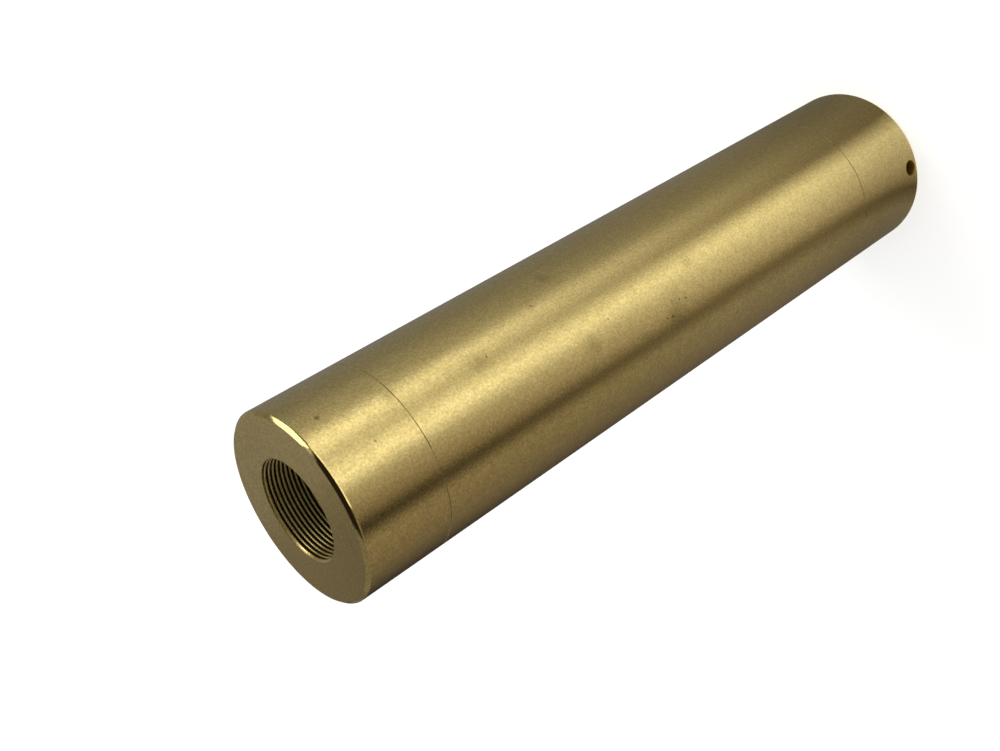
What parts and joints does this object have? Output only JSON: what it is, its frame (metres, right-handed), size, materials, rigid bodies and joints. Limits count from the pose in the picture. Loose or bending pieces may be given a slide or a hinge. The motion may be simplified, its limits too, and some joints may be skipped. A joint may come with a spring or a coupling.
{
  "type": "laser pointer",
  "caption": "Cylindrical turned brass pocket laser pointer with a finely threaded front mouth, a focusing laser module, one cell and a recessed tail push button.",
  "frame": {"origin": "centre of the flat tail face that the part stands on", "axes": "+Z along the body's axis to the front end that the light leaves, -Y through the lanyard hole"},
  "size_m": [0.022, 0.022, 0.0985],
  "materials": {
    "turned_brass": "satin, fine turning marks",
    "inner_brass": "as turned",
    "black_rubber": "matte",
    "white_plastic": "matte",
    "black_plastic": "matte",
    "green_board": "satin",
    "spring_steel": "drawn wire",
    "cell_sleeve": "shrunk sleeve",
    "tan_ceramic": "matte",
    "red_insulation": "insulated wire",
    "black_insulation": "insulated wire",
    "bare_aluminium": "as turned",
    "diode_metal": "gold-plated",
    "lens_glass": "coated glass"
  },
  "bodies": {
    "tail": {"tail_cap": "turned_brass", "tail_seal": "black_rubber", "button_gasket": "black_rubber", "switch_spacer": "white_plastic", "switch_body": "black_plastic", "switch_board": "green_board", "switch_retaining_ring": "inner_brass", "tail_spring": "spring_steel", "battery_cell": "cell_sleeve"},
    "button": {"tail_button": "inner_brass", "switch_plunger": "white_plastic"},
    "barrel": {"battery_tube": "turned_brass", "driver_contact": "inner_brass", "driver_board": "green_board", "driver_inductor": "black_plastic", "driver_chip": "black_plastic", "driver_capacitors": "tan_ceramic", "lead_red": "red_insulation", "lead_black": "black_insulation", "heatsink": "bare_aluminium", "module_body": "inner_brass", "diode_retaining_ring": "inner_brass", "laser_diode": "diode_metal", "lens_spring": "spring_steel"},
    "lens_carriage": {"lens": "lens_glass"},
    "focusing": {"focus_ring": "inner_brass"},
    "front": {"front_cap": "turned_brass"}
  },
  "joints": [
    {"name": "button_press", "type": "slide", "parent": "tail", "child": "button", "axis": [0, 0, 1], "range_m": [0, 0.0015], "stiffness_N_per_m": 800, "springref_m": -0.001},
    {"name": "barrel_lift", "type": "slide", "parent": "tail", "child": "barrel", "axis": [0, 0, 1], "range_m": [0, 0.045]},
    {"name": "front_cap_lift", "type": "slide", "parent": "barrel", "child": "front", "axis": [0, 0, 1], "range_m": [0, 0.012]},
    {"name": "focus_slide", "type": "slide", "parent": "barrel", "child": "lens_carriage", "axis": [0, 0, 1], "range_m": [-0.0005, 0.0015], "deforming": ["lens_spring"]},
    {"name": "focus_turn", "type": "hinge", "parent": "lens_carriage", "child": "focusing", "pos_m": [0, 0, 0.08534], "axis": [0, 0, 1], "range_deg": [-360, 1080]}
  ],
  "couplings": [
    {"joint": "focus_turn", "follows": "focus_slide", "rad_per_m": 12566}
  ]
}
